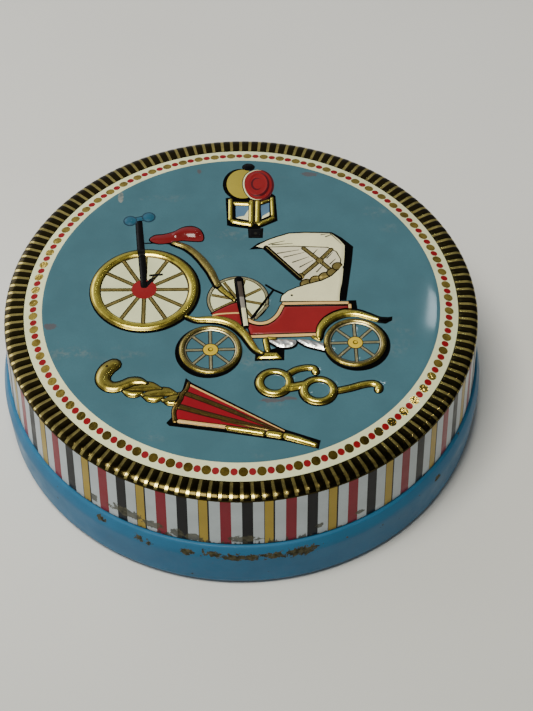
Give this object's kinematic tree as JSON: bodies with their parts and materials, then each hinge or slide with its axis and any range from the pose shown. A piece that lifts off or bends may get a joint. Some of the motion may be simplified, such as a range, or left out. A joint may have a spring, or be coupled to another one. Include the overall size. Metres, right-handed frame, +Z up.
{
  "type": "cookie tin",
  "caption": "Round pressed-steel cookie tin: a slip lid with raised panel, ribbed rim and striped skirt over a stepped, rolled body with a raised bottom.",
  "frame": {"origin": "centre of the foot ring, on the surface that the tin stands on", "axes": "+Z up along the tin's round axis, through the lid; -Y is the side that faces the viewer; +X to the viewer's right"},
  "size_m": [0.1662, 0.1662, 0.0479],
  "materials": {
    "lid_print": "gloss litho print on tinplate",
    "body_enamel": "satin gloss enamel",
    "tinplate": "bare tinplate"
  },
  "bodies": {
    "base": {"body_wall": "body_enamel", "bottom_disc": "tinplate"},
    "lid": {"lid": "lid_print"}
  },
  "joints": [
    {"name": "lid_lift", "type": "slide", "parent": "base", "child": "lid", "axis": [0, 0, 1], "range_m": [0, 0.08]}
  ]
}
